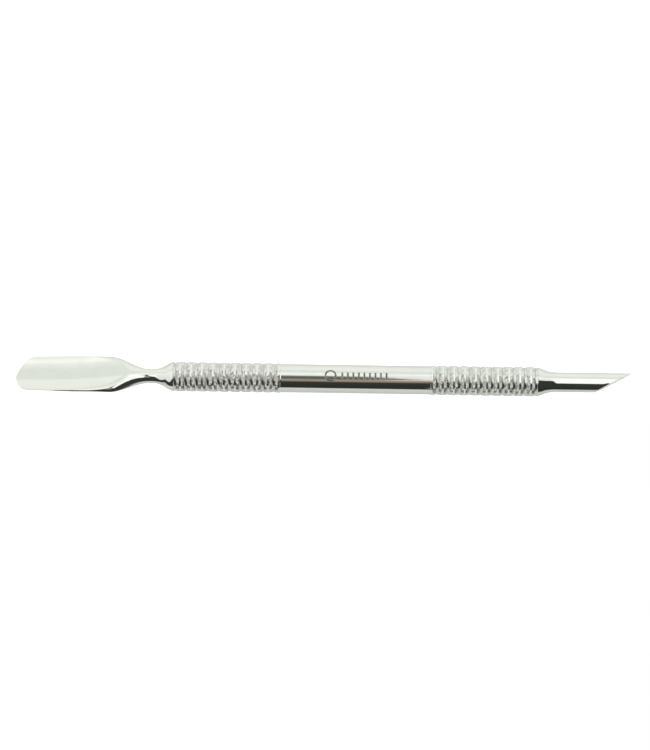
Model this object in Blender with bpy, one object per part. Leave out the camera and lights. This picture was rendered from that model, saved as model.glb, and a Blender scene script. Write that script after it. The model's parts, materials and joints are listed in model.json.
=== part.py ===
"""Double-ended cuticle pusher: a ribbed tube handle with a scoop at one end and a bevelled rod at the other.

+X runs along the tool from the scoop to the bevelled point, +Z is up, and the dish of the scoop faces +Z.
The tool lies on the crests of its ribs, so the lowest ribs are at z = 0. Places along the tool are stations:
distances from the scoop's tip. Units are metres.
"""

import math

import bmesh
import bpy
from mathutils import Matrix, Vector

MM = 0.001

# Driving dimensions.
LENGTH = 135 * MM
TURNED_SIDES = 24
TIP_SIDES = 40
FIT_GAP = 0.3 * MM

# Handle tube.
TUBE_START = 33.0 * MM
TUBE_END = 115.7 * MM
CREST_RADIUS = 3.25 * MM
GRIP_RADIUS = 3.13 * MM
GRIP_STEP = 0.2 * MM
BORE_RADIUS = 1.9 * MM
END_RADIUS = 2.62 * MM
LEFT_SHOULDER = 1.35 * MM
RIGHT_SHOULDER = 1.6 * MM
LEFT_BULGE = 0.12 * MM
RIB_PITCH = 2.39 * MM
GROOVES = 10
GROOVE_WIDTH = 0.6 * MM
GROOVE_DEPTH = 0.2 * MM
LEFT_RIBS_CENTRE = 45.7 * MM
RIGHT_RIBS_CENTRE = 102.85 * MM

# Tangs of the two tips inside the tube, and the braze ring in a groove of each tang.
TANG_RADIUS = BORE_RADIUS - FIT_GAP
TANG_LENGTH = 10 * MM
TANG_CHAMFER = 0.5 * MM
RING_GROOVE_RADIUS = 1.0 * MM
RING_GROOVE_WIDTH = 1.2 * MM
RING_INSET = 4 * MM
RING_RADIUS = 1.52 * MM
RING_THICKNESS = 0.42 * MM
RING_SIDES = 10

# Scoop: a flattened blade whose top is hollowed by a dish that slopes down to the tip.
BLADE_HALF_WIDTH = 4.42 * MM
BLADE_TOP = 2.0 * MM
BLADE_BOTTOM = -0.8 * MM
TIP_TOP = 1.2 * MM
TIP_BOTTOM = -0.75 * MM
TIP_TAPER = 8 * MM
TIP_APEX_Y = -1.35 * MM
TIP_LENGTH_FAR = 3.9 * MM
TIP_LENGTH_NEAR = 2.9 * MM
TIP_BLUNT = 0.2 * MM
BELLY_START = 17 * MM
BELLY_END = 27 * MM
WAIST_START = 20.6 * MM
CROWN_START = 22.3 * MM
NECK_START = 29.4 * MM
NECK_RADIUS = 1.55 * MM
NECK_END = 29.8 * MM
NECK_FLARE = 5.4 * MM
DISH_RADIUS = 15.6 * MM
DISH_FLOOR = -0.5 * MM
DISH_SLOPE = 0.06
DISH_RISE_START = 12 * MM
DISH_RISE_RADIUS = 96 * MM
DISH_END = 27 * MM

# Bevelled rod.
ROD_RADIUS = 2.18 * MM
ROD_START = 118.2 * MM
ROD_FLARE = 7 * MM
BEVEL_ANGLE = math.radians(27.3)
BEVEL_TURN = math.radians(19)

AXIS_HEIGHT = CREST_RADIUS * math.cos(math.pi / TURNED_SIDES)

STEEL = ("polished_steel", (0.62, 0.63, 0.61), 0.18, 1.0)
RIBBED_STEEL = ("ribbed_steel", (0.55, 0.56, 0.54), 0.3, 1.0)
BRAZE = ("silver_braze", (0.72, 0.66, 0.5), 0.35, 1.0)


def clear_scene():
    """Remove every object of the open scene."""
    for item in list(bpy.data.objects):
        bpy.data.objects.remove(item, do_unlink=True)


def metal(finish):
    """Return a Principled material made from (name, colour, roughness, metallic)."""
    name, colour, roughness, metallic = finish
    material = bpy.data.materials.new(name)
    material.use_nodes = True
    shader = material.node_tree.nodes["Principled BSDF"]
    shader.inputs["Base Color"].default_value = (*colour, 1.0)
    shader.inputs["Roughness"].default_value = roughness
    shader.inputs["Metallic"].default_value = metallic
    material.diffuse_color = (*colour, 1.0)
    return material


def make_object(name, shape, finish):
    """Turn a bmesh into a named object lying on the table, with its faces pointing out."""
    bmesh.ops.translate(shape, verts=shape.verts, vec=(-LENGTH / 2, 0, AXIS_HEIGHT))
    bmesh.ops.recalc_face_normals(shape, faces=shape.faces)
    mesh = bpy.data.meshes.new(name)
    shape.to_mesh(mesh)
    shape.free()
    mesh.shade_smooth()
    mesh.set_sharp_from_angle(angle=math.radians(30))
    if finish:
        mesh.materials.append(metal(finish))
    item = bpy.data.objects.new(name, mesh)
    bpy.context.scene.collection.objects.link(item)
    return item


def ease(value, start, end):
    """Go smoothly from 0 at start to 1 at end."""
    share = min(1.0, max(0.0, (value - start) / (end - start)))
    return share * share * (3 - 2 * share)


def flare_radius(distance, base_radius, arc_radius):
    """Return the radius of a concave flare at a distance from where it begins."""
    return base_radius + arc_radius - math.sqrt(arc_radius**2 - distance**2)


def spin_profile(points, sides):
    """Spin (station, radius) points about the tool's axis, with a flat side facing down."""
    shape = bmesh.new()
    turn = Matrix.Rotation(math.pi / sides, 3, "X")
    verts = [shape.verts.new(turn @ Vector((station, 0, -radius))) for station, radius in points]
    edges = [shape.edges.new((a, b)) for a, b in zip(verts, verts[1:])]
    if points[0][1] > 0:
        edges.append(shape.edges.new((verts[-1], verts[0])))
    geometry = verts + edges
    around = {"cent": (0, 0, 0), "axis": (1, 0, 0), "angle": 2 * math.pi, "steps": sides, "use_merge": True}
    bmesh.ops.spin(shape, geom=geometry, **around)
    bmesh.ops.remove_doubles(shape, verts=shape.verts, dist=1e-7)
    return shape


def loft(rings):
    """Join equal rings of points with quads and close both ends."""
    shape = bmesh.new()
    loops = [[shape.verts.new(point) for point in ring] for ring in rings]
    for first, second in zip(loops, loops[1:]):
        for index in range(len(first)):
            after = (index + 1) % len(first)
            shape.faces.new((first[index], first[after], second[after], second[index]))
    shape.faces.new(loops[0][::-1])
    shape.faces.new(loops[-1])
    return shape


def oval(station, centre_y, centre_z, half_width, half_height):
    """Return one ring of points across the tool."""
    ring = []
    for index in range(TIP_SIDES):
        angle = 2 * math.pi * (index + 0.5) / TIP_SIDES
        y = centre_y + half_width * math.cos(angle)
        z = centre_z + half_height * math.sin(angle)
        ring.append(Vector((station, y, z)))
    return ring


def ribs_profile(centre):
    """Return the points of one ribbed stretch: plain crests with narrow grooves between them."""
    points = []
    for index in range(GROOVES):
        middle = centre + (index - (GROOVES - 1) / 2) * RIB_PITCH
        points.append((middle - GROOVE_WIDTH / 2, CREST_RADIUS))
        points.append((middle, CREST_RADIUS - GROOVE_DEPTH))
        points.append((middle + GROOVE_WIDTH / 2, CREST_RADIUS))
    return points


def shoulder_profile(end, length, bulge):
    """Return one end of the tube, from its end face up to its first crest, bulging over a plain chamfer."""
    middle_radius = (END_RADIUS + CREST_RADIUS) / 2 + bulge
    return [(end, END_RADIUS), (end + length * 0.4, middle_radius), (end + length, CREST_RADIUS)]


def make_handle_tube():
    """Ribbed tube with a plain grip in its middle and a bore from end to end."""
    start = TUBE_START + FIT_GAP / 2
    end = TUBE_END - FIT_GAP / 2
    half_ribs = GROOVES / 2 * RIB_PITCH
    profile = [(start, BORE_RADIUS)]
    profile += shoulder_profile(start, LEFT_SHOULDER, LEFT_BULGE)
    profile += ribs_profile(LEFT_RIBS_CENTRE)
    profile.append((LEFT_RIBS_CENTRE + half_ribs, CREST_RADIUS))
    profile.append((LEFT_RIBS_CENTRE + half_ribs + GRIP_STEP, GRIP_RADIUS))
    profile.append((RIGHT_RIBS_CENTRE - half_ribs - GRIP_STEP, GRIP_RADIUS))
    profile.append((RIGHT_RIBS_CENTRE - half_ribs, CREST_RADIUS))
    profile += ribs_profile(RIGHT_RIBS_CENTRE)
    profile += shoulder_profile(end, -RIGHT_SHOULDER, 0)[::-1]
    profile.append((end, BORE_RADIUS))
    return make_object("handle_tube", spin_profile(profile, TURNED_SIDES), RIBBED_STEEL)


def tang_profile(root, direction):
    """Return a tang's (station, radius) points from the tip's end face into the tube."""
    ring = root + direction * RING_INSET
    half = direction * RING_GROOVE_WIDTH / 2
    end = root + direction * TANG_LENGTH
    return [
        (root, TANG_RADIUS),
        (ring - half, TANG_RADIUS),
        (ring - half, RING_GROOVE_RADIUS),
        (ring + half, RING_GROOVE_RADIUS),
        (ring + half, TANG_RADIUS),
        (end - direction * TANG_CHAMFER, TANG_RADIUS),
        (end, TANG_RADIUS - TANG_CHAMFER),
    ]


def blade_ring(station):
    """Return the scoop's outer section at a station, before the dish is cut."""
    taper = max(0.0, 1 - station / TIP_TAPER) ** 2
    top = BLADE_TOP + (TIP_TOP - BLADE_TOP) * taper
    top += (NECK_RADIUS - BLADE_TOP) * ease(station, CROWN_START, NECK_START)
    bottom = BLADE_BOTTOM + (TIP_BOTTOM - BLADE_BOTTOM) * taper
    bottom += (-NECK_RADIUS - BLADE_BOTTOM) * ease(station, BELLY_START, BELLY_END)
    half_width = BLADE_HALF_WIDTH + (NECK_RADIUS - BLADE_HALF_WIDTH) * ease(station, WAIST_START, NECK_START)
    far = TIP_APEX_Y + (half_width - TIP_APEX_Y) * round_end(station, TIP_LENGTH_FAR)
    near = TIP_APEX_Y - (half_width + TIP_APEX_Y) * round_end(station, TIP_LENGTH_NEAR)
    return oval(station, (far + near) / 2, (top + bottom) / 2, (far - near) / 2, (top - bottom) / 2)


def round_end(station, length):
    """Return the share of the full width at a station of a rounded end."""
    share = min(1.0, station / length)
    return max(TIP_BLUNT / BLADE_HALF_WIDTH, math.sqrt(1 - (1 - share) ** 2))


def dish_floor(station):
    """Return the height of the dish's lowest line above the tool's axis."""
    rise = max(0.0, station - DISH_RISE_START) ** 2 / (2 * DISH_RISE_RADIUS)
    return DISH_FLOOR + DISH_SLOPE * station + rise


def make_dish_cutter():
    """Slab whose underside is the dish: a shallow arc across the tool that follows the sloping floor."""
    half_width = 6 * MM
    ceiling = 4 * MM
    columns = 16
    rows = 18
    rings = []
    for row in range(rows + 1):
        station = -1 * MM + (DISH_END + 1 * MM) * row / rows
        ring = []
        for column in range(columns + 1):
            y = half_width * (2 * column / columns - 1)
            arc = DISH_RADIUS - math.sqrt(DISH_RADIUS**2 - y**2)
            ring.append(Vector((station, y, dish_floor(station) + arc)))
        ring.append(Vector((station, half_width, ceiling)))
        ring.append(Vector((station, -half_width, ceiling)))
        rings.append(ring)
    cutter = make_object("dish_cutter", loft(rings), None)
    cutter.hide_render = True
    cutter.display_type = "WIRE"
    return cutter


def make_scoop_tip():
    """Scoop, neck, flare and tang in one forged piece."""
    tip_steps = 7
    blade = [TIP_LENGTH_FAR * (1 - math.cos(math.pi / 2 * step / tip_steps)) for step in range(tip_steps + 1)]
    blade += [station * MM for station in (6, 8, 11, 14, 17, 20)]
    waist_steps = 9
    waist_step = (NECK_START - WAIST_START) / waist_steps
    blade += [WAIST_START + waist_step * step for step in range(1, waist_steps + 1)]
    rings = [blade_ring(station) for station in blade]
    root = TUBE_START - FIT_GAP / 2
    flare_steps = 6
    for step in range(flare_steps + 1):
        distance = (root - NECK_END) * step / flare_steps
        radius = flare_radius(distance, NECK_RADIUS, NECK_FLARE)
        rings.append(oval(NECK_END + distance, 0, 0, radius, radius))
    rings += [oval(station, 0, 0, radius, radius) for station, radius in tang_profile(root, 1)]
    scoop = make_object("scoop_tip", loft(rings), STEEL)
    cut = scoop.modifiers.new("dish", "BOOLEAN")
    cut.operation = "DIFFERENCE"
    cut.solver = "EXACT"
    cut.object = make_dish_cutter()
    return scoop


def make_bevel_tip():
    """Tang, flare and rod, with the rod's end ground off at a slant."""
    root = TUBE_END + FIT_GAP / 2
    flare_steps = 6
    profile = [(root - TANG_LENGTH, 0)]
    profile += tang_profile(root, -1)[::-1]
    for step in range(flare_steps + 1):
        station = root + (ROD_START - root) * step / flare_steps
        profile.append((station, flare_radius(ROD_START - station, ROD_RADIUS, ROD_FLARE)))
    profile.append((LENGTH, ROD_RADIUS))
    profile.append((LENGTH, 0))
    shape = spin_profile(profile, TIP_SIDES)
    flat = ROD_RADIUS * math.cos(math.pi / TIP_SIDES)
    side = Vector((0, math.cos(BEVEL_TURN), math.sin(BEVEL_TURN)))
    point = Vector((LENGTH, 0, 0)) + side * flat
    normal = Vector((math.sin(BEVEL_ANGLE), 0, 0)) - side * math.cos(BEVEL_ANGLE)
    geometry = shape.verts[:] + shape.edges[:] + shape.faces[:]
    cut = bmesh.ops.bisect_plane(shape, geom=geometry, plane_co=point, plane_no=normal, clear_outer=True)
    rim = [item for item in cut["geom_cut"] if isinstance(item, bmesh.types.BMEdge)]
    bmesh.ops.contextual_create(shape, geom=rim)
    return make_object("bevel_tip", shape, STEEL)


def make_braze_ring(name, root, direction):
    """Ring of braze lying in the groove of one tang."""
    middle = root + direction * RING_INSET
    profile = []
    for index in range(RING_SIDES):
        angle = 2 * math.pi * (index + 0.5) / RING_SIDES
        station = middle + RING_THICKNESS / 2 * math.cos(angle)
        profile.append((station, RING_RADIUS + RING_THICKNESS / 2 * math.sin(angle)))
    return make_object(name, spin_profile(profile, TURNED_SIDES), BRAZE)


def main():
    """Build the whole tool."""
    clear_scene()
    make_handle_tube()
    make_scoop_tip()
    make_bevel_tip()
    make_braze_ring("scoop_braze_ring", TUBE_START - FIT_GAP / 2, 1)
    make_braze_ring("bevel_braze_ring", TUBE_END + FIT_GAP / 2, -1)


main()
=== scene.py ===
"""Looks of a double-ended cuticle pusher: a knurled tube handle, a polished scoop and a bevelled rod.

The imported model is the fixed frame. Three finely made pieces stand for its tube and its two tips, the braze
rings inside the tube are kept and given their metal, and a studio is set round the tool.

Stations are distances in millimetres from the scoop's tip along the tool, as a maker's drawing has them, and
Bench turns them into places in the frame, which is in metres.
"""

import json
import logging
import math
from dataclasses import dataclass, field
from enum import Enum
from typing import Any, Callable, Sequence, Union

import bmesh
import bpy
from mathutils import Matrix, Vector

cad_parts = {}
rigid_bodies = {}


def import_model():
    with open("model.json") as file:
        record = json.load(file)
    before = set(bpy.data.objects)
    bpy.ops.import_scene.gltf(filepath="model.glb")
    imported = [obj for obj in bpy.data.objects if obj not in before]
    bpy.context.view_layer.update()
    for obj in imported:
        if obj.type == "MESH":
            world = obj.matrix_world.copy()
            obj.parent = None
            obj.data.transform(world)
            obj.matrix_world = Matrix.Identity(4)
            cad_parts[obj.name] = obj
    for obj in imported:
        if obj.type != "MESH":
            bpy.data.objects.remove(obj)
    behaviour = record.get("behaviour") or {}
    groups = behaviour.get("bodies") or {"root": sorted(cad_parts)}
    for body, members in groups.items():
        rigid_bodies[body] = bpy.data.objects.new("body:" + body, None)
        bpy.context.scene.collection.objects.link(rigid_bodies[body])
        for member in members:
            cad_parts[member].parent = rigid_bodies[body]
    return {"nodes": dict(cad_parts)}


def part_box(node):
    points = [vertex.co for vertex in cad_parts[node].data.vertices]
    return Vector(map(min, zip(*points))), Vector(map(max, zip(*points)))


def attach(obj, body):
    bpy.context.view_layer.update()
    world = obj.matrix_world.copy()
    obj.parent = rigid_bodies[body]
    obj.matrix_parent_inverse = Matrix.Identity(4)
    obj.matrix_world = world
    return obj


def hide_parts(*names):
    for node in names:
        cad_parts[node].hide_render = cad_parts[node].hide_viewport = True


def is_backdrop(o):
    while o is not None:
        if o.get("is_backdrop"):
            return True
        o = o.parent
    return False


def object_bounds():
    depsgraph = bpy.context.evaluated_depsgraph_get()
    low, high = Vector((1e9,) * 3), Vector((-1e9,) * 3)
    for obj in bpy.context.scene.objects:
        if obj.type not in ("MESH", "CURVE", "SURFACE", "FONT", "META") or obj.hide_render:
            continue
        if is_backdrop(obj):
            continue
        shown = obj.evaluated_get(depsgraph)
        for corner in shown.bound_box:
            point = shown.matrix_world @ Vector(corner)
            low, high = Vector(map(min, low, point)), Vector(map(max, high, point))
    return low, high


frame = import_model()
CAD_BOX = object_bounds()

MM = 0.001
Colour = tuple[float, float, float]
Point = tuple[float, float]
Tree = bpy.types.NodeTree
log = logging.getLogger("cuticle_pusher")


class Grain(Enum):
    """Which way the marks of the last polish run."""

    ALONG = "along the tool"
    AROUND = "around the tool"


class Signal:
    """A number or colour inside a material; Python operators on it add Math nodes."""

    def __init__(self, tree: Tree, socket: bpy.types.NodeSocket) -> None:
        """Wrap one output socket of a node tree."""
        self.tree = tree
        self.socket = socket

    def _math(self, operation: str, *values: "Value") -> "Signal":
        """Add one Math node and return its result."""
        return add_node(self.tree, "ShaderNodeMath", {"operation": operation}, dict(enumerate(values)))

    def __add__(self, other: "Value") -> "Signal":
        """Return the sum."""
        return self._math("ADD", self, other)

    def __sub__(self, other: "Value") -> "Signal":
        """Return the difference."""
        return self._math("SUBTRACT", self, other)

    def __rsub__(self, other: "Value") -> "Signal":
        """Return the difference from a plain number."""
        return self._math("SUBTRACT", other, self)

    def __mul__(self, other: "Value") -> "Signal":
        """Return the product."""
        return self._math("MULTIPLY", self, other)

    def __truediv__(self, other: "Value") -> "Signal":
        """Return the quotient."""
        return self._math("DIVIDE", self, other)

    def __neg__(self) -> "Signal":
        """Return the value with its sign turned."""
        return self._math("MULTIPLY", self, -1.0)

    def __abs__(self) -> "Signal":
        """Return the size of the value."""
        return self._math("ABSOLUTE", self)

    __radd__ = __add__

    def nearest_whole(self) -> "Signal":
        """Return the nearest whole number."""
        return self._math("ROUND", self)

    def root(self) -> "Signal":
        """Return the square root."""
        return self._math("SQRT", self)

    def turn_from(self, other: "Signal") -> "Signal":
        """Return the angle whose sine and cosine are in the ratio of this value and the other."""
        return self._math("ARCTAN2", self, other)

    def step(self, low: float, high: float) -> "Signal":
        """Go smoothly from 0 at low to 1 at high."""
        settings = {"interpolation_type": "SMOOTHSTEP"}
        sockets = {"Value": self, "From Min": low, "From Max": high}
        return add_node(self.tree, "ShaderNodeMapRange", settings, sockets)

    def between(self, rise: Point, fall: Point) -> "Signal":
        """Go smoothly from 0 to 1 over the first range, and back to 0 over the second."""
        return self.step(*rise) * (1 - self.step(*fall))

    def mixed(self, first: "Value", second: "Value") -> "Signal":
        """Mix two colours, with this value as the share of the second."""
        settings = {"data_type": "RGBA"}
        sockets = {"Factor_Float": self, "A_Color": first, "B_Color": second}
        return add_node(self.tree, "ShaderNodeMix", settings, sockets, "Result_Color")


Value = Union[Signal, float, Sequence[float]]
Surface = tuple[Signal, Signal, Signal]
"""Colour, roughness and height of a surface."""


def find_socket(sockets: Any, key: Union[int, str]) -> bpy.types.NodeSocket:
    """Return one of a node's inputs or outputs by its place, its identifier or its name."""
    if isinstance(key, int):
        return sockets[key]
    for socket in sockets:
        if socket.identifier == key:
            return socket
    return sockets[key]


def add_node(
    tree: Tree,
    kind: str,
    settings: dict[str, Any],
    sockets: dict[Union[int, str], Value],
    output: Union[int, str] = 0,
) -> Signal:
    """Add a node, set its settings and then its sockets.

    Args:
        tree: the node tree to add it to.
        kind: the node's type.
        settings: its own settings; "stops" holds a ramp's (place, colour) pairs.
        sockets: values or signals for its inputs.
        output: which output to return.

    Returns:
        The chosen output.
    """
    node = tree.nodes.new(kind)
    for name, value in settings.items():
        if name == "stops":
            set_stops(node.color_ramp, value)
        else:
            setattr(node, name, value)
    for key, value in sockets.items():
        socket = find_socket(node.inputs, key)
        if isinstance(value, Signal):
            tree.links.new(value.socket, socket)
        elif socket.type == "RGBA":
            socket.default_value = (*value, 1.0)
        else:
            socket.default_value = value
    return Signal(tree, find_socket(node.outputs, output))


def set_stops(ramp: bpy.types.ColorRamp, stops: Sequence[tuple[float, Colour]]) -> None:
    """Give a colour ramp its stops, which are (place, colour) pairs in rising order."""
    ramp.interpolation = "EASE"
    for end, (place, colour) in ((0, stops[0]), (-1, stops[-1])):
        ramp.elements[end].position = place
        ramp.elements[end].color = (*colour, 1.0)
    for place, colour in stops[1:-1]:
        ramp.elements.new(place).color = (*colour, 1.0)


@dataclass(frozen=True)
class Bench:
    """Where the tool lies in the frame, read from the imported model."""

    start: float
    length: float
    axis: float

    @classmethod
    def from_frame(cls) -> "Bench":
        """Measure the tool in the frame."""
        low, high = CAD_BOX
        tube_low, tube_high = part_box("handle_tube")
        return cls(low.x, high.x - low.x, (tube_low.z + tube_high.z) / 2)

    def place(self, station: float, y: float, z: float) -> Vector:
        """Return the place in the frame of a point given in millimetres from the tool's axis."""
        return Vector((self.start + station * MM, y * MM, self.axis + z * MM))


@dataclass(frozen=True)
class SteelFinish:
    """Stainless steel with the marks of its last polish."""

    name: str
    colour: Colour = (0.64, 0.65, 0.625)
    smudge_colour: Colour = (0.58, 0.585, 0.56)
    roughness: float = 0.045
    line_roughness: float = 0.035
    line_height: float = 5e-7
    grain: Grain = Grain.ALONG

    def line_scale(self) -> Vector:
        """Return how tightly the polishing lines are packed along each axis, per metre."""
        fine, coarse = 5200.0, 140.0
        if self.grain is Grain.ALONG:
            return Vector((coarse, fine, fine))
        return Vector((fine, coarse, coarse))

    def make(self, axis: float) -> bpy.types.Material:
        """Make the material; axis is the height of the tool's axis."""
        material, tree, shader, here = new_material(self.name)
        lines = self.lines(tree, here)
        smudge = noise(tree, here, 230.0, 3.0).step(0.35, 0.75)
        pits = noise(tree, here, 5200.0, 1.0).step(0.73, 0.8)
        colour = (smudge * 0.3 + lines * 0.25).mixed(self.colour, self.smudge_colour)
        colour = (pits * 0.5).mixed(colour, (0.3, 0.29, 0.27))
        roughness = lines * self.line_roughness + smudge * 0.02 + pits * 0.15 + self.roughness
        height = lines - pits * 0.6
        surface = self.detail(tree, here, axis, (colour, roughness, height))
        set_metal(tree, shader, surface, self.line_height)
        return material

    def lines(self, tree: Tree, here: Signal) -> Signal:
        """Return the polishing lines, from 0 to 1."""
        return noise(tree, stretched(tree, here, self.line_scale()), 1.0, 3.0)

    def detail(self, tree: Tree, here: Signal, axis: float, surface: Surface) -> Surface:
        """Return the surface with what this finish adds; plain steel adds nothing."""
        return surface


@dataclass(frozen=True)
class KnurlFinish(SteelFinish):
    """Knurled steel: clean worn tops and a little dark polishing paste left in the cuts."""

    crest: float = 3.25 * MM
    depth: float = 0.1 * MM
    paste_colour: Colour = (0.36, 0.36, 0.34)

    def detail(self, tree: Tree, here: Signal, axis: float, surface: Surface) -> Surface:
        """Return the surface with paste in the cuts and wear on the tops."""
        colour, roughness, height = surface
        radius, _ = polar(tree, here, axis)
        low = 1 - radius.step(self.crest - self.depth * 1.05, self.crest - self.depth * 0.35)
        patches = noise(tree, here, 900.0, 2.0).step(0.3, 0.7)
        paste = low * (patches * 0.35 + 0.1)
        worn = radius.step(self.crest - self.depth * 0.25, self.crest)
        colour = paste.mixed(colour, self.paste_colour)
        colour = (worn * 0.4).mixed(colour, (0.7, 0.705, 0.68))
        return colour, roughness + paste * 0.15 - worn * 0.04, height


@dataclass(frozen=True)
class GripFinish(SteelFinish):
    """Turned steel of the grip, with a plain etched mark: a ring and a row of bars."""

    radius: float = 3.13 * MM
    mark_turn: float = math.radians(16.5)
    ring_place: float = 1.35 * MM
    ring_radius: float = 1.1 * MM
    stroke: float = 0.2 * MM
    bars_start: float = 3.9 * MM
    bar_pitch: float = 1.2 * MM
    bar_count: int = 9
    bar_width: float = 0.42 * MM
    bar_height: float = 0.75 * MM
    etch_colour: Colour = (0.15, 0.14, 0.12)

    def detail(self, tree: Tree, here: Signal, axis: float, surface: Surface) -> Surface:
        """Return the surface with the etched mark."""
        colour, roughness, height = surface
        _, turn = polar(tree, here, axis)
        along = coordinate(tree, here, "X")
        across = (turn - self.mark_turn) * self.radius
        edge = self.stroke * 0.25
        from_ring = ((along - self.ring_place) * (along - self.ring_place) + across * across).root()
        ring = 1 - abs(from_ring - self.ring_radius).step(self.stroke - edge, self.stroke + edge)
        local = (along - self.bars_start) / self.bar_pitch
        inside = local.between((-0.5, -0.49), (self.bar_count - 0.51, self.bar_count - 0.5))
        from_bar = abs(local - local.nearest_whole()) * self.bar_pitch
        bars = 1 - from_bar.step(self.bar_width / 2 - edge, self.bar_width / 2 + edge)
        bars = bars * inside * (1 - abs(across).step(self.bar_height - edge, self.bar_height + edge))
        worn = noise(tree, here, 2600.0, 2.0).step(0.25, 0.6)
        mark = (ring + bars) * (worn * 0.25 + 0.72)
        colour = mark.mixed(colour, self.etch_colour)
        return colour, roughness + mark * 0.55, height - mark * 2.0


GROUND = SteelFinish("ground_bevel_steel", colour=(0.57, 0.585, 0.57), roughness=0.14, line_height=1.5e-6)


@dataclass(frozen=True)
class BrazeFinish:
    """Silver braze: pale warm metal, mottled where the flux dried."""

    name: str = "silver_braze_metal"
    colour: Colour = (0.74, 0.68, 0.52)
    flux_colour: Colour = (0.36, 0.28, 0.2)

    def make(self) -> bpy.types.Material:
        """Make the material."""
        material, tree, shader, here = new_material(self.name)
        flux = noise(tree, here, 2400.0, 4.0).step(0.45, 0.75)
        ripple = noise(tree, here, 5200.0, 2.0)
        colour = flux.mixed(self.colour, self.flux_colour)
        set_metal(tree, shader, (colour, flux * 0.35 + ripple * 0.1 + 0.25, ripple), 1e-5, 0.6)
        return material


@dataclass(frozen=True)
class BoreFinish:
    """Drilled bore: dull grey steel with tight tool rings."""

    name: str = "drilled_bore"
    colour: Colour = (0.42, 0.41, 0.39)
    stain_colour: Colour = (0.22, 0.2, 0.17)

    def make(self) -> bpy.types.Material:
        """Make the material."""
        material, tree, shader, here = new_material(self.name)
        lines = noise(tree, stretched(tree, here, Vector((6500.0, 90.0, 90.0))), 1.0, 2.0)
        stain = noise(tree, here, 300.0, 3.0).step(0.4, 0.7)
        colour = (stain * 0.6).mixed(self.colour, self.stain_colour)
        set_metal(tree, shader, (colour, lines * 0.2 + stain * 0.15 + 0.32, lines), 4e-6)
        return material


def new_material(name: str) -> tuple[bpy.types.Material, Tree, bpy.types.Node, Signal]:
    """Make a Principled material, and return it, its node tree, its shader and the place on the object."""
    material = bpy.data.materials.new(name)
    material.use_nodes = True
    tree = material.node_tree
    here = add_node(tree, "ShaderNodeTexCoord", {}, {}, "Object")
    return material, tree, tree.nodes["Principled BSDF"], here


def set_metal(tree: Tree, shader: bpy.types.Node, surface: Surface, relief: float, share: float = 1) -> None:
    """Make a shader metal with this surface, its marks as deep as relief, in metres."""
    colour, roughness, height = surface
    connect(tree, shader, "Base Color", colour)
    connect(tree, shader, "Roughness", roughness)
    bump = {"Height": height, "Distance": relief, "Strength": share}
    connect(tree, shader, "Normal", add_node(tree, "ShaderNodeBump", {}, bump, "Normal"))
    shader.inputs["Metallic"].default_value = 1.0


def connect(tree: Tree, shader: bpy.types.Node, name: str, value: Signal) -> None:
    """Link a signal to a shader's input."""
    tree.links.new(value.socket, shader.inputs[name])


def noise(tree: Tree, where: Signal, scale: float, detail: float) -> Signal:
    """Return a smooth random pattern from 0 to 1.

    Args:
        tree: the node tree.
        where: the coordinates it is read at.
        scale: how many features there are to a unit.
        detail: how many finer layers are added.

    Returns:
        The pattern.
    """
    sockets = {"Vector": where, "Scale": scale, "Detail": detail}
    return add_node(tree, "ShaderNodeTexNoise", {}, sockets, "Fac")


def stretched(tree: Tree, where: Signal, scale: Vector) -> Signal:
    """Return coordinates multiplied by a scale for each axis."""
    return add_node(tree, "ShaderNodeMapping", {}, {"Vector": where, "Scale": scale}, "Vector")


def coordinate(tree: Tree, where: Signal, name: str) -> Signal:
    """Return the coordinate called X, Y or Z."""
    return add_node(tree, "ShaderNodeSeparateXYZ", {}, {"Vector": where}, name)


def polar(tree: Tree, here: Signal, axis: float) -> tuple[Signal, Signal]:
    """Return the distance from the axis in metres, and the turn from up towards the front in radians."""
    y = coordinate(tree, here, "Y")
    z = coordinate(tree, here, "Z") - axis
    return (y * y + z * z).root(), (-y).turn_from(z)


def deselect() -> None:
    """Deselect every object."""
    bpy.ops.object.select_all(action="DESELECT")


def pick(obj: bpy.types.Object, wanted: Callable[[bmesh.types.BMVert], bool]) -> int:
    """Select, in edit mode, only the vertices that a test wants, and return how many there are."""
    bpy.ops.mesh.select_mode(type="VERT")
    bpy.ops.mesh.select_all(action="DESELECT")
    shape = bmesh.from_edit_mesh(obj.data)
    count = 0
    for vert in shape.verts:
        vert.select = wanted(vert)
        count += vert.select
    shape.select_flush_mode()
    bmesh.update_edit_mesh(obj.data)
    return count


def turned(name: str, profile: Sequence[Point], steps: int, bench: Bench) -> bpy.types.Object:
    """Turn a profile about the tool's axis, and leave the piece in edit mode.

    Args:
        name: the piece's name.
        profile: (station, radius) points in millimetres; one that starts off the axis is closed.
        steps: how many facets go round.
        bench: where the tool lies.

    Returns:
        The new object.
    """
    deselect()
    places = [bench.place(station, 0, -radius) for station, radius in profile]
    if profile[0][1] > 0:
        places.append(places[0])
    bpy.ops.mesh.primitive_plane_add(size=MM, location=places[0])
    obj = bpy.context.object
    obj.name = obj.data.name = name
    bpy.ops.object.transform_apply(location=True, rotation=True, scale=True)
    bpy.ops.object.mode_set(mode="EDIT")
    bpy.ops.mesh.merge(type="CENTER")
    for here, after in zip(places, places[1:]):
        bpy.ops.mesh.extrude_region_move(TRANSFORM_OT_translate={"value": after - here})
    bpy.ops.mesh.select_all(action="SELECT")
    centre = bench.place(0, 0, 0)
    bpy.ops.mesh.spin(steps=steps, angle=2 * math.pi, center=centre, axis=(1, 0, 0))
    bpy.ops.mesh.select_all(action="SELECT")
    bpy.ops.mesh.remove_doubles(threshold=2e-7)
    bpy.ops.mesh.normals_make_consistent(inside=False)
    return obj


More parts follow.
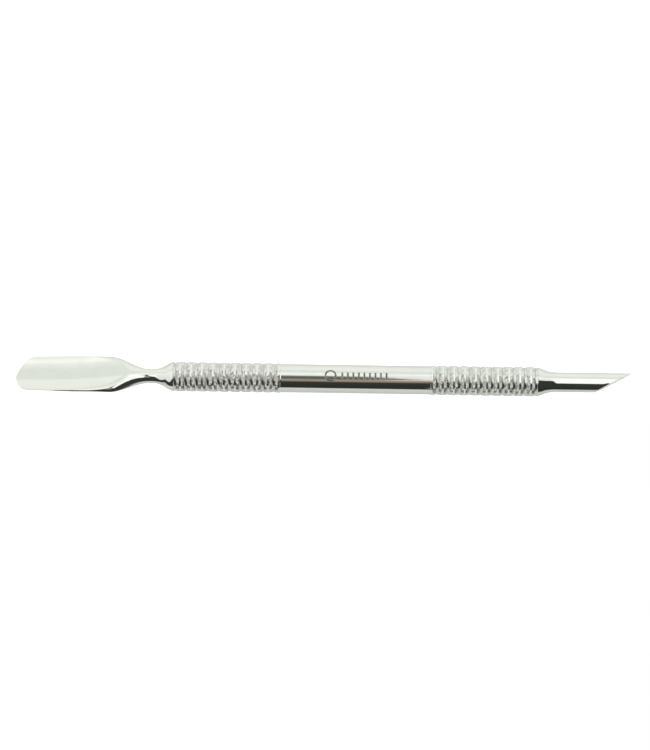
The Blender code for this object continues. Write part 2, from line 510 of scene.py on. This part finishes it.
def finish_piece(obj: bpy.types.Object, sharp_angle: float, node: str) -> bpy.types.Object:
    """Shade a piece, put it on the tool's body and have it stand for its CAD node.

    Args:
        obj: the piece, in object mode.
        sharp_angle: edges that turn more than this stay crisp.
        node: the CAD node that it stands for.

    Returns:
        The piece.
    """
    deselect()
    obj.select_set(True)
    bpy.context.view_layer.objects.active = obj
    bpy.ops.object.shade_smooth_by_angle(angle=sharp_angle)
    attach(obj, "root")
    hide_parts(node)
    log.info("%s: %d faces", obj.name, len(obj.data.polygons))
    return obj


def ease(value: float, start: float, end: float) -> float:
    """Go smoothly from 0 at start to 1 at end."""
    share = min(1.0, max(0.0, (value - start) / (end - start)))
    return share * share * (3 - 2 * share)


def last_place(low: float, high: float, holds: Callable[[float], bool]) -> float:
    """Return the last place between low and high where a test holds, found by halving."""
    for _ in range(40):
        middle = (low + high) / 2
        if holds(middle):
            low = middle
        else:
            high = middle
    return low


def flare(distance: float, base_radius: float, arc_radius: float) -> float:
    """Return the radius of a concave flare at a distance from where it begins."""
    return base_radius + arc_radius - math.sqrt(arc_radius**2 - distance**2)


@dataclass
class HandleTube:
    """Knurled tube handle with a turned grip in its middle. Sizes are in millimetres."""

    bench: Bench
    start: float = 33.0
    end: float = 115.7
    seam: float = 0.006
    bore: float = 1.9
    crest: float = 3.25
    grip: float = 3.13
    left_end_radius: float = 2.6
    right_end_radius: float = 2.65
    pitch: float = 2.39
    grooves: int = 10
    left_centre: float = 45.7
    right_centre: float = 102.85
    groove_depth: float = 0.2
    groove_shape: tuple[Point, ...] = ((0.0, 1.0), (0.13, 1.0), (0.18, 0.8), (0.24, 0.5), (0.3, 0.42))
    left_bulge: float = 0.1
    right_bulge: float = 0.04
    shoulder_steps: int = 10
    grip_rings: tuple[float, ...] = (0.4, 0.47, 0.6, 1.0, 2.0)
    middle_rings: tuple[float, ...] = (-12, -8, -4, 0, 4, 8, 12)
    bar_foot: Point = (0.08, 0.02)
    dome: float = 0.08
    knurl_from: float = 0.36
    knurl_depth: float = 0.09
    knurl_wander: float = 0.016
    knurl_rows: int = 4
    bar_half: float = 0.2
    facets: int = 84
    sharp: float = math.radians(24)
    rows: list[Point] = field(default_factory=list)

    def groove(self, middle: float, side: int) -> list[Point]:
        """Return half of a groove, from its middle outwards."""
        crest, full = self.crest, self.groove_depth
        return [(middle + side * away, crest - full * depth) for away, depth in self.groove_shape]

    def half_pitch(self, middle: float, side: int) -> list[Point]:
        """Return the profile from the middle of a groove to the middle of the crest bar beside it.

        Args:
            middle: station of the groove.
            side: 1 towards the rod, -1 towards the scoop.

        Returns:
            (station, radius) points, from the groove outwards.
        """
        points = self.groove(middle, side)
        knurl_end = self.pitch / 2 - self.bar_half
        for row in range(self.knurl_rows):
            share = row / (self.knurl_rows - 1)
            station = middle + side * (self.knurl_from + (knurl_end - self.knurl_from) * share)
            radius = self.crest - self.knurl_depth - self.dome * (1 - share) ** 2
            self.rows.append((station, radius))
            points.append((station, radius))
        points.append((middle + side * (knurl_end + 0.02), self.crest))
        points.append((middle + side * self.pitch / 2, self.crest))
        return points

    def shoulder(self, end: float, end_radius: float, crest_station: float, bulge: float) -> list[Point]:
        """Return one rounded end of the tube, from its end face up to the crest.

        Args:
            end: station of the end face.
            end_radius: radius of the end face.
            crest_station: where the crest is reached.
            bulge: how far the round stands over a plain chamfer.

        Returns:
            (station, radius) points.
        """
        points = []
        for index in range(self.shoulder_steps + 1):
            share = index / self.shoulder_steps
            radius = end_radius + (self.crest - end_radius) * share + bulge * 4 * share * (1 - share)
            points.append((end + (crest_station - end) * share, radius))
        return points

    def ribs(self, centre: float, first: list[Point], last: list[Point]) -> list[Point]:
        """Return one knurled stretch; first and last stand for its outermost half pitches if given."""
        points: list[Point] = []
        for index in range(self.grooves):
            middle = centre + (index - (self.grooves - 1) / 2) * self.pitch
            if index == 0 and first:
                points += first + self.groove(middle, -1)[:0:-1]
            else:
                points += self.half_pitch(middle, -1)[:0:-1]
            if index == self.grooves - 1 and last:
                points += self.groove(middle, 1) + last
            else:
                points += self.half_pitch(middle, 1)[:-1]
        return points

    def profile(self) -> list[Point]:
        """Return the tube's whole profile, from the bore at the scoop's end to that at the rod's."""
        start = self.start + self.seam / 2
        end = self.end - self.seam / 2
        half = self.grooves / 2 * self.pitch
        outer = (self.grooves - 1) / 2 * self.pitch + self.knurl_from
        left = self.shoulder(start, self.left_end_radius, self.left_centre - outer, self.left_bulge)
        right = self.shoulder(end, self.right_end_radius, self.right_centre + outer, self.right_bulge)[::-1]
        points: list[Point] = [(start, self.bore)]
        points += self.ribs(self.left_centre, left, [])
        left_end = self.left_centre + half
        right_start = self.right_centre - half
        foot_width, foot_rise = self.bar_foot
        points += [(left_end, self.crest), (left_end + self.bar_half, self.crest)]
        points += [(left_end + self.bar_half + foot_width, self.grip + foot_rise)]
        points += [(left_end + away, self.grip) for away in self.grip_rings]
        middle = (left_end + right_start) / 2
        points += [(middle + away, self.grip) for away in self.middle_rings]
        points += [(right_start - away, self.grip) for away in self.grip_rings[::-1]]
        points += [(right_start - self.bar_half - foot_width, self.grip + foot_rise)]
        points += [(right_start - self.bar_half, self.crest)]
        points += self.ribs(self.right_centre, [], right)
        points.append((end, self.bore))
        return points

    def raise_knurl(self, obj: bpy.types.Object) -> None:
        """Raise every other point of the knurled rows into diamonds, in edit mode."""
        centre = self.bench.place(0, 0, 0)
        rows = {
            round((self.bench.start + station * MM) * 1e5): (index % 2, radius * MM)
            for index, (station, radius) in enumerate(self.rows)
        }

        def is_top(vert: bmesh.types.BMVert) -> bool:
            key = round(vert.co.x * 1e5)
            row = rows.get(key) or rows.get(key - 1) or rows.get(key + 1)
            if row is None or abs(math.hypot(vert.co.y, vert.co.z - centre.z) - row[1]) > 1e-5:
                return False
            column = round(math.atan2(vert.co.y, vert.co.z - centre.z) / (2 * math.pi) * self.facets)
            return (column + row[0]) % 2 == 0

        count = pick(obj, is_top)
        grow = self.crest / (self.crest - self.knurl_depth)
        bpy.ops.transform.resize(value=(1, grow, grow), center_override=centre)
        bpy.ops.transform.vertex_random(offset=self.knurl_wander * MM, uniform=1.0, normal=0.0, seed=7)
        bpy.ops.mesh.select_more()
        bpy.ops.mesh.quads_convert_to_tris(quad_method="SHORTEST_DIAGONAL", ngon_method="BEAUTY")
        log.info("knurl: %d diamonds", count)

    def dress(self, obj: bpy.types.Object) -> None:
        """Give the ribs, the grip and the bore their finishes."""
        axis = self.bench.axis
        ribs = KnurlFinish("knurled_steel", grain=Grain.AROUND, roughness=0.085)
        grip = GripFinish("turned_grip_steel", grain=Grain.AROUND)
        shoulder = SteelFinish("polished_shoulder_steel", grain=Grain.AROUND)
        for material in (ribs.make(axis), grip.make(axis), BoreFinish().make(), shoulder.make(axis)):
            obj.data.materials.append(material)
        half = self.grooves / 2 * self.pitch
        grip_start = self.bench.place(self.left_centre + half, 0, 0).x
        grip_end = self.bench.place(self.right_centre - half, 0, 0).x
        inset = self.pitch / 2 + self.knurl_from
        first_groove = self.bench.place(self.left_centre - half + inset - 2 * self.knurl_from, 0, 0).x
        last_groove = self.bench.place(self.right_centre + half - inset + 2 * self.knurl_from, 0, 0).x
        for face in obj.data.polygons:
            away = math.hypot(face.center.y, face.center.z - axis)
            if away < (self.bore + 0.01) * MM:
                face.material_index = 2
            elif grip_start < face.center.x < grip_end:
                face.material_index = 1
            elif not first_groove < face.center.x < last_groove:
                face.material_index = 3

    def build(self) -> bpy.types.Object:
        """Make the tube."""
        obj = turned("knurled_handle_tube", self.profile(), self.facets, self.bench)
        self.raise_knurl(obj)
        bpy.ops.object.mode_set(mode="OBJECT")
        self.dress(obj)
        return finish_piece(obj, self.sharp, "handle_tube")


@dataclass
class Tang:
    """The part of a tip that sits inside the tube, with a groove for its braze ring."""

    radius: float = 1.6
    length: float = 10.0
    chamfer: float = 0.5
    groove_radius: float = 1.0
    groove_width: float = 1.2
    inset: float = 4.0
    fit_gap: float = 0.15

    def profile(self, root: float, direction: int) -> list[Point]:
        """Return the tang's (station, radius) points from the tip's end face into the tube.

        Args:
            root: station of the tube's end.
            direction: 1 if the tube lies towards the rod's end, or -1.

        Returns:
            The points.
        """
        face = root - direction * self.fit_gap
        ring = face + direction * self.inset
        half = direction * self.groove_width / 2
        end = face + direction * self.length
        return [
            (ring - half, self.radius),
            (ring - half, self.groove_radius),
            (ring + half, self.groove_radius),
            (ring + half, self.radius),
            (end - direction * self.chamfer, self.radius),
            (end, self.radius - self.chamfer),
        ]


@dataclass
class ScoopTip:
    """Forged scoop, neck, flare and tang in one piece. Sizes are in millimetres.

    Its section changes all along, from a hollowed oval with rounded rims to a round neck, so the piece is
    lofted from worked-out sections: no extrude or Boolean leaves rims fine enough for a mirror polish.
    """

    bench: Bench
    tube_start: float = 33.0
    seam: float = 0.006
    half_width: float = 4.42
    top: float = 2.0
    bottom: float = -0.8
    tip_top: float = 1.2
    tip_bottom: float = -0.75
    tip_taper: float = 8.0
    apex: float = -0.6
    tip_far: float = 3.9
    tip_near: float = 2.9
    blunt: float = 0.9
    belly: Point = (17.0, 27.0)
    waist: Point = (20.6, 29.4)
    crown: Point = (22.3, 29.4)
    blade_end: float = 20.0
    neck_radius: float = 1.55
    neck_end: float = 29.8
    neck_flare: float = 5.4
    dish_radius: float = 15.6
    dish_floor: float = -0.5
    dish_slope: float = 0.06
    dish_rise_start: float = 12.0
    dish_rise_radius: float = 96.0
    rim_far: float = 0.16
    rim_near: float = 0.7
    rim_near_outside: float = 0.6
    rim_tip: float = 0.5
    rim_tip_length: float = 10.0
    rim_growth: float = 1.3
    rim_growth_start: float = 9.0
    rim_growth_length: float = 15.0
    rim_steps: int = 6
    dish_steps: int = 36
    outer_steps: int = 72
    least_dish: float = math.radians(1.5)
    tang: Tang = field(default_factory=Tang)
    sharp: float = math.radians(40)

    def oval(self, station: float) -> tuple[float, float, float, float]:
        """Return the outer oval at a station, as centre y and z, half width and half height."""
        taper = max(0.0, 1 - station / self.tip_taper) ** 2
        top = self.top + (self.tip_top - self.top) * taper
        top += (self.neck_radius - self.top) * ease(station, *self.crown)
        bottom = self.bottom + (self.tip_bottom - self.bottom) * taper
        bottom += (-self.neck_radius - self.bottom) * ease(station, *self.belly)
        half = self.half_width + (self.neck_radius - self.half_width) * ease(station, *self.waist)
        far = self.apex + (half - self.apex) * self.round_end(station, self.tip_far)
        near = self.apex - (half + self.apex) * self.round_end(station, self.tip_near)
        if station > self.neck_end:
            top = flare(min(station, self.tube_start) - self.neck_end, self.neck_radius, self.neck_flare)
            far, near, bottom = top, -top, -top
        return (far + near) / 2, (top + bottom) / 2, (far - near) / 2, (top - bottom) / 2

    def round_end(self, station: float, length: float) -> float:
        """Return the share of the full width at a station of a rounded end."""
        share = min(1.0, station / length)
        return max(self.blunt / self.half_width, math.sqrt(1 - (1 - share) ** 2))

    def dish(self, station: float, y: float) -> float:
        """Return the height of the dish's surface."""
        rise = max(0.0, station - self.dish_rise_start) ** 2 / (2 * self.dish_rise_radius)
        arc = self.dish_radius - math.sqrt(self.dish_radius**2 - y * y)
        return self.dish_floor + self.dish_slope * station + rise + arc

    def meeting(self, station: float, side: int) -> float:
        """Return how far round from the top of the oval the dish meets it.

        Args:
            station: where along the tool.
            side: 1 for the far side, -1 for the near side.

        Returns:
            The angle from the top, which is negative where the dish misses the oval.
        """
        centre_y, centre_z, half_y, half_z = self.oval(station)
        if station > self.crown[1] or self.dish(station, centre_y) >= centre_z + half_z:
            return -1.0

        def over_dish(turn: float) -> bool:
            y = centre_y + side * half_y * math.sin(turn)
            return centre_z + half_z * math.cos(turn) > self.dish(station, y)

        return last_place(0.0, math.pi, over_dish)

    def dish_end(self) -> float:
        """Return the station where the dish runs out at the top of the oval."""
        return last_place(self.blade_end, self.crown[1], lambda at: self.meeting(at, 1) > self.least_dish)

    def section(self, station: float, end: float) -> list[Vector]:
        """Return one closed section: near rim, dish, far rim and then the outside.

        Args:
            station: where along the tool.
            end: the station where the dish runs out.

        Returns:
            Its points, the same number at every station.
        """
        centre_y, centre_z, half_y, half_z = self.oval(station)

        def outside(turn: float) -> Point:
            return centre_y + half_y * math.sin(turn), centre_z + half_z * math.cos(turn)

        far, near = self.meeting(station, 1), self.meeting(station, -1)
        if station >= end or min(far, near) < self.least_dish:
            total = self.dish_steps + 2 * self.rim_steps
            nominal = math.pi * total / (total + self.outer_steps)
            far = near = self.least_dish + (nominal - self.least_dish) * ease(station, end, self.tube_start)
            points = [outside(-near + (far + near) * index / total) for index in range(total)]
        else:
            points = self.hollow(station, outside, near, far)
            near_size = self.rim_size(station, self.rim_near_outside)
            far += self.rim_turn(self.rim_size(station, self.rim_far), outside, far)
            near += self.rim_turn(near_size, lambda turn: outside(-turn), near)
        for index in range(self.outer_steps):
            points.append(outside(far + (2 * math.pi - far - near) * index / self.outer_steps))
        return [self.bench.place(station, y, z) for y, z in points]

    def rim_size(self, station: float, full: float) -> float:
        """Return how far each side of the edge a rim's rounding reaches, less where the tip is thin."""
        return full * min(1.0, 0.35 + station / 3)

    def rim_turn(self, size: float, outside: Callable[[float], Point], meeting: float) -> float:
        """Return how far round the outside a rim's rounding of this size ends past the edge."""
        here, after = outside(meeting), outside(meeting + 0.001)
        speed = math.hypot(after[0] - here[0], after[1] - here[1]) / 0.001
        return min(size / speed, (math.pi - meeting) * 0.4)

    def hollow(
        self, station: float, outside: Callable[[float], Point], near: float, far: float
    ) -> list[Point]:
        """Return the near rim, the dish and the far rim of one section.

        Args:
            station: where along the tool.
            outside: gives the outer oval's point at a turn from its top.
            near: turn at which the near edge lies.
            far: turn at which the far edge lies.

        Returns:
            The points from the outside of the near rim to just before the outside of the far rim.
        """
        near_edge, far_edge = outside(-near), outside(far)
        near_size, far_size = self.rim_size(station, self.rim_near), self.rim_size(station, self.rim_far)
        near_outside = self.rim_size(station, self.rim_near_outside)
        near_size += self.rim_tip * max(0.0, 1 - station / self.rim_tip_length)
        growth = max(0.0, (station - self.rim_growth_start) / self.rim_growth_length)
        near_size += self.rim_growth * growth**2
        widest = (far_edge[0] - near_edge[0]) * 0.3
        inner_near = near_edge[0] + min(near_size, widest)
        inner_far = far_edge[0] - min(far_size, widest)
        near_out = outside(-near - self.rim_turn(near_outside, lambda turn: outside(-turn), near))
        far_out = outside(far + self.rim_turn(far_size, outside, far))
        near_in = (inner_near, self.dish(station, inner_near))
        far_in = (inner_far, self.dish(station, inner_far))
        shares = [index / self.rim_steps for index in range(self.rim_steps)]
        points = [curve(near_out, near_edge, near_in, share) for share in shares]
        for index in range(self.dish_steps):
            y = inner_near + (inner_far - inner_near) * index / self.dish_steps
            points.append((y, self.dish(station, y)))
        return points + [curve(far_in, far_edge, far_out, share) for share in shares]

    def stations(self, end: float) -> list[float]:
        """Return the stations of all sections, closest together where the shape turns quickly."""
        tip = [self.tip_far * (1 - math.cos(math.pi / 2 * step / 26)) for step in range(27)]
        blade = [self.tip_far + (self.blade_end - self.tip_far) * step / 26 for step in range(1, 27)]
        waist = [end - (end - self.blade_end) * (1 - step / 40) ** 1.7 for step in range(1, 41)]
        neck = [end + (self.neck_end - end) * step / 22 for step in range(1, 23)]
        root = self.tube_start - self.seam / 2
        flared = [self.neck_end + (root - self.neck_end) * step / 16 for step in range(1, 17)]
        return tip + blade + waist + neck + flared

    def build(self) -> bpy.types.Object:
        """Make the scoop."""
        end = self.dish_end()
        log.info("dish runs out at %.2f mm", end)
        rings = [self.section(station, end) for station in self.stations(end)]
        last = rings[-1]
        count = len(last)
        root_radius = self.oval(self.tube_start)[3]
        root = (self.tube_start - self.seam / 2, self.tang.radius)
        for station, radius in [root, *self.tang.profile(self.tube_start, 1)]:
            grow = radius / root_radius
            place = self.bench.place(station, 0, 0)
            rings.append([Vector((place.x, p.y * grow, place.z + (p.z - place.z) * grow)) for p in last])
        shape = bmesh.new()
        loops = [[shape.verts.new(point) for point in ring] for ring in rings]
        for first, second in zip(loops, loops[1:]):
            for index in range(count):
                after = (index + 1) % count
                shape.faces.new((first[index], first[after], second[after], second[index]))
        shape.faces.new(loops[0][::-1])
        shape.faces.new(loops[-1])
        bmesh.ops.recalc_face_normals(shape, faces=shape.faces)
        mesh = bpy.data.meshes.new("polished_scoop_tip")
        shape.to_mesh(mesh)
        shape.free()
        obj = bpy.data.objects.new("polished_scoop_tip", mesh)
        bpy.context.scene.collection.objects.link(obj)
        mesh.materials.append(SteelFinish("polished_scoop_steel").make(self.bench.axis))
        return finish_piece(obj, self.sharp, "scoop_tip")


def curve(first: Point, corner: Point, last: Point, share: float) -> Point:
    """Return the point at a share of the round that leaves first towards corner and arrives at last."""
    weights = ((1 - share) ** 2, 2 * share * (1 - share), share**2)
    return tuple(sum(w * p[axis] for w, p in zip(weights, (first, corner, last))) for axis in (0, 1))


@dataclass
class BevelTip:
    """Turned rod with its end ground off at a slant. Sizes are in millimetres."""

    bench: Bench
    tube_end: float = 115.7
    seam: float = 0.006
    rod: float = 2.18
    rod_start: float = 118.2
    flare_arc: float = 7.0
    slant: float = math.radians(27.3)
    turn: float = math.radians(19)
    edge: float = 0.02
    facets: int = 96
    tang: Tang = field(default_factory=Tang)
    sharp: float = math.radians(35)

    def profile(self) -> list[Point]:
        """Return the profile from the tang's end to the rod's end."""
        root = self.tube_end + self.seam / 2
        tang = self.tang.profile(self.tube_end, -1)[::-1]
        points: list[Point] = [(tang[0][0], 0.0)] + tang + [(root, self.tang.radius)]
        steps = 14
        for step in range(steps + 1):
            station = root + (self.rod_start - root) * step / steps
            points.append((station, flare(self.rod_start - station, self.rod, self.flare_arc)))
        length = self.bench.length / MM
        rings = 10
        for step in range(1, rings):
            points.append((self.rod_start + (length - self.rod_start) * step / rings, self.rod))
        return points + [(length + 0.5, self.rod), (length + 0.5, 0.0)]

    def grind(self, obj: bpy.types.Object) -> None:
        """Grind the end off at its slant and break the sharp edge."""
        side = Vector((0, math.cos(self.turn), math.sin(self.turn)))
        point = self.bench.place(self.bench.length / MM, 0, 0) + side * self.rod * MM
        normal = Vector((math.sin(self.slant), 0, 0)) - side * math.cos(self.slant)
        bpy.ops.mesh.select_all(action="SELECT")
        bpy.ops.mesh.bisect(plane_co=point, plane_no=normal, use_fill=True, clear_outer=True)
        pick(obj, lambda vert: abs((vert.co - point).dot(normal)) < 1e-6)
        bpy.ops.mesh.bevel(offset=self.edge * MM, segments=3, affect="EDGES", clamp_overlap=True)

    def build(self) -> bpy.types.Object:
        """Make the rod."""
        obj = turned("polished_bevel_tip", self.profile(), self.facets, self.bench)
        self.grind(obj)
        bpy.ops.object.mode_set(mode="OBJECT")
        finish = SteelFinish("polished_rod_steel", grain=Grain.AROUND)
        obj.data.materials.append(finish.make(self.bench.axis))
        obj.data.materials.append(GROUND.make(self.bench.axis))
        largest = max(obj.data.polygons, key=lambda face: face.area)
        largest.material_index = 1
        return finish_piece(obj, self.sharp, "bevel_tip")


@dataclass
class BrazeRings:
    """The two rings of braze inside the tube, kept from the frame."""

    names: tuple[str, str] = ("scoop_braze_ring", "bevel_braze_ring")

    def dress(self) -> None:
        """Give both rings their metal."""
        metal = BrazeFinish().make()
        for name in self.names:
            ring = frame["nodes"][name]
            if not ring.material_slots:
                ring.data.materials.append(metal)
            for slot in ring.material_slots:
                slot.material = metal
            log.info("%s: kept from the frame", name)


@dataclass
class Studio:
    """Pale floor, soft light all round with a dark arch over the front, and the camera.

    Mirror steel shows what stands round it. Turns are in degrees from straight up towards the front. Places
    across are shares of a direction along the tool, positive towards the rod. A pair of numbers is where a
    change starts and ends. around and dark hold rows of turn and tone. dark_edges: side, start, end and how
    far the arch's edge drops between them. painted_shade_start: where the floor in the steel turns to a
    painted shade, a dark sheet seen only in reflections, nearer at the ends. ribs_lit: strips (start, end,
    share) along the tool where that painted shade is lifted in front of the ribs.
    """

    bench: Bench
    floor_size: float = 6.0
    elevation: float = math.radians(60)
    distance: float = 0.372
    roll: float = math.radians(-0.85)
    sensor: float = 36.0
    image_height: float = 750.0
    grain: float = 0.2188 * MM
    offset: Point = (0.7, 3.6)
    brightest: float = 1.6
    around: tuple[tuple[float, Colour], ...] = (
        (-100, (1.12, 1.14, 1.09)),
        (-72, (1.24, 1.26, 1.2)),
        (-58, (1.3, 1.32, 1.26)),
        (-42, (1.31, 1.33, 1.27)),
        (-37, (1.15, 1.19, 1.13)),
        (-22, (1.16, 1.2, 1.14)),
        (-15, (1.26, 1.28, 1.22)),
        (-7, (1.5, 1.52, 1.46)),
        (0, (1.28, 1.3, 1.24)),
        (60, (1.2, 1.2, 1.16)),
        (100, (1.15, 1.15, 1.12)),
    )
    dark: tuple[tuple[float, Colour], ...] = (
        (5, (0.3, 0.36, 0.32)),
        (14, (0.2, 0.24, 0.22)),
        (30, (0.11, 0.135, 0.12)),
        (36, (0.4, 0.33, 0.27)),
        (42, (0.58, 0.43, 0.33)),
        (50, (0.42, 0.31, 0.24)),
        (60, (0.05, 0.055, 0.05)),
        (88, (0.04, 0.045, 0.04)),
    )
    dark_middle: float = -0.01
    dark_top: float = 8.0
    dark_edges: tuple[tuple[int, float, float, float], ...] = (
        (1, 0.03, 0.075, 24),
        (1, 0.08, 0.15, 12),
        (1, 0.15, 0.45, -28),
        (1, 0.8, 1.0, 50),
        (-1, 0.03, 0.075, 24),
        (-1, 0.09, 0.17, 6),
        (-1, 0.3, 0.8, 60),
    )
    dark_fade: Point = (-2, 4)
    dark_foot: Point = (130, 140)
    dark_sides: Point = (0.06, 0.11)
    side_tone: Colour = (0.03, 0.034, 0.031)
    glint_across: tuple[Point, Point] = ((0.025, 0.05), (0.06, 0.085))
    glint_turn: tuple[Point, Point] = ((30, 34), (37, 41))
    glint_share: float = 0.8
    glint_tone: Colour = (0.75, 0.74, 0.72)
    patches: tuple[tuple[int, Point, Point], ...] = (
        (1, (0.085, 0.12), (-14, -4)),
        (-1, (0.085, 0.11), (10, 18)),
    )
    patch_sides: Point = (0.35, 0.6)
    patch_foot: Point = (60, 90)
    patch_tone: Colour = (0.99, 0.99, 0.98)
    painted_shade_start: Point = (-11 * MM, -15 * MM)
    floor_middle: float = 6 * MM
    floor_ends: Point = (40 * MM, 46 * MM)
    ends_shift: float = 6 * MM
    ribs_lit: tuple[tuple[float, ...], ...] = ((-25 * MM, -12 * MM, 0.85), (25 * MM, 48 * MM, 0.85))
    lit_depth: Point = (-45 * MM, -38 * MM)
    card: tuple[Colour, Colour] = ((0.54, 0.54, 0.535), (0.56, 0.56, 0.555))
    painted_shade_colour: Colour = (0.03, 0.03, 0.03)
    glow: Colour = (0.42, 0.44, 0.42)
    glow_strength: float = 0.98

    def lay_floor(self) -> bpy.types.Object:
        """Lay the floor: white to the camera, a dimmer painted glow in the steel, painted shade in front."""
        deselect()
        low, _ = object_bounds()
        bpy.ops.mesh.primitive_plane_add(size=self.floor_size, location=(0, 0, low.z))
        floor = bpy.context.object
        floor.name = "pale_floor"
        material, tree, shader, here = new_material("pale_floor_card")
        x, y = (coordinate(tree, here, name) for name in "XY")
        # Painted shade: the floor turns dark in front of the tool, seen only in the steel, lifted in front of
        # the ribs.
        nearer = abs(x - self.floor_middle).step(*self.floor_ends) * self.ends_shift
        front = (y - nearer).step(*self.painted_shade_start)
        close = y.step(*self.lit_depth)
        for start, end, share in self.ribs_lit:
            front = front * (1 - x.between((start - MM, start), (end, end + MM)) * close * share)
        card = noise(tree, here, 900.0, 3.0).mixed(*self.card)
        connect(tree, shader, "Base Color", front.mixed(card, self.painted_shade_colour))
        shader.inputs["Roughness"].default_value = 0.9
        shader.inputs["Specular IOR Level"].default_value = 0.1
        direct = add_node(tree, "ShaderNodeLightPath", {}, {}, "Is Camera Ray")
        # Painted glow: in the steel the floor glows though it is no lamp, except under its painted shade in
        # front.
        mirrored = front.mixed(self.glow, (0.0, 0.0, 0.0))
        connect(tree, shader, "Emission Color", direct.mixed(mirrored, (1.0, 1.0, 1.0)))
        shader.inputs["Emission Strength"].default_value = self.glow_strength
        floor.data.materials.append(material)
        floor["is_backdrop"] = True
        return floor

    def ramp(self, tree: Tree, turn: Signal, tones: Sequence[tuple[float, Colour]]) -> Signal:
        """Return the tone at a turn from straight up towards the front.

        Args:
            tree: the world's node tree.
            turn: the turn in degrees.
            tones: (turn, colour) pairs in rising order.

        Returns:
            The colour, as a share of the brightest.
        """
        low, high = tones[0][0], tones[-1][0]
        stops = []
        for at, colour in tones:
            stops.append(((at - low) / (high - low), tuple(part / self.brightest for part in colour)))
        place = (turn - low) / (high - low)
        return add_node(tree, "ShaderNodeValToRGB", {"stops": stops}, {"Fac": place}, "Color")

    def light(self) -> None:
        """Light the tool from a soft surround with a dark arch; the camera sees plain white behind it."""
        world = bpy.data.worlds.new("soft_surround")
        bpy.context.scene.world = world
        world.use_nodes = True
        tree = world.node_tree
        tree.nodes.clear()
        way = add_node(tree, "ShaderNodeTexCoord", {}, {}, "Generated")
        x, y, z = (coordinate(tree, way, name) for name in "XYZ")
        turn = (-y).turn_from(z) * (180 / math.pi)
        across = x - self.dark_middle
        aside = abs(across)
        top = self.dark_top
        for side, start, end, drop in self.dark_edges:
            top = (across * side).step(start, end) * drop + top
        arch = (turn - top).step(*self.dark_fade) * (1 - turn.step(*self.dark_foot))
        tone = aside.step(*self.dark_sides).mixed(self.ramp(tree, turn, self.dark), self.side_tone)
        glint = x.between(*self.glint_across) * turn.between(*self.glint_turn)
        tone = (glint * self.glint_share).mixed(tone, self.glint_tone)
        shine = 0.0
        for side, out, up in self.patches:
            shine = (x * side).step(*out) * turn.step(*up) + shine
        shine = shine * (1 - aside.step(*self.patch_sides)) * (1 - turn.step(*self.patch_foot))
        around = shine.mixed(self.ramp(tree, turn, self.around), self.patch_tone)
        seen = arch.mixed(around, tone)
        studio = add_node(tree, "ShaderNodeBackground", {}, {"Color": seen, "Strength": self.brightest})
        backdrop = add_node(tree, "ShaderNodeBackground", {}, {"Color": (1.0, 1.0, 1.0), "Strength": 1.0})
        direct = add_node(tree, "ShaderNodeLightPath", {}, {}, "Is Camera Ray")
        mixed = add_node(tree, "ShaderNodeMixShader", {}, {0: direct, 1: studio, 2: backdrop})
        output = tree.nodes.new("ShaderNodeOutputWorld")
        tree.links.new(mixed.socket, output.inputs["Surface"])

    def set_camera(self) -> None:
        """Put the camera over the front of the tool."""
        data = bpy.data.cameras.new("camera")
        data.sensor_width = self.sensor
        data.lens = self.sensor * self.distance / (self.image_height * self.grain)
        data.clip_start = 0.01
        data.clip_end = 20
        camera = bpy.data.objects.new("camera", data)
        bpy.context.scene.collection.objects.link(camera)
        back = Vector((0, -math.cos(self.elevation), math.sin(self.elevation)))
        facing = (-back).to_track_quat("-Z", "Y").to_matrix()
        facing = facing @ Matrix.Rotation(-self.roll, 3, "Z")
        centre = self.bench.place(self.bench.length / MM / 2, 0, 0)
        aside = facing @ Vector((self.offset[0] * self.grain, self.offset[1] * self.grain, 0))
        camera.matrix_world = Matrix.Translation(centre + back * self.distance + aside) @ facing.to_4x4()
        bpy.context.scene.camera = camera

    def build(self) -> None:
        """Set up the whole studio."""
        self.lay_floor()
        self.light()
        self.set_camera()
        view = bpy.context.scene.view_settings
        view.view_transform = "Standard"
        view.look = "None"


def main() -> None:
    """Build the tool's pieces in order and set the studio round them."""
    logging.basicConfig(level=logging.INFO, format="%(name)s: %(message)s")
    bench = Bench.from_frame()
    HandleTube(bench).build()
    ScoopTip(bench).build()
    BevelTip(bench).build()
    BrazeRings().dress()
    Studio(bench).build()


if __name__ == "__main__":
    main()
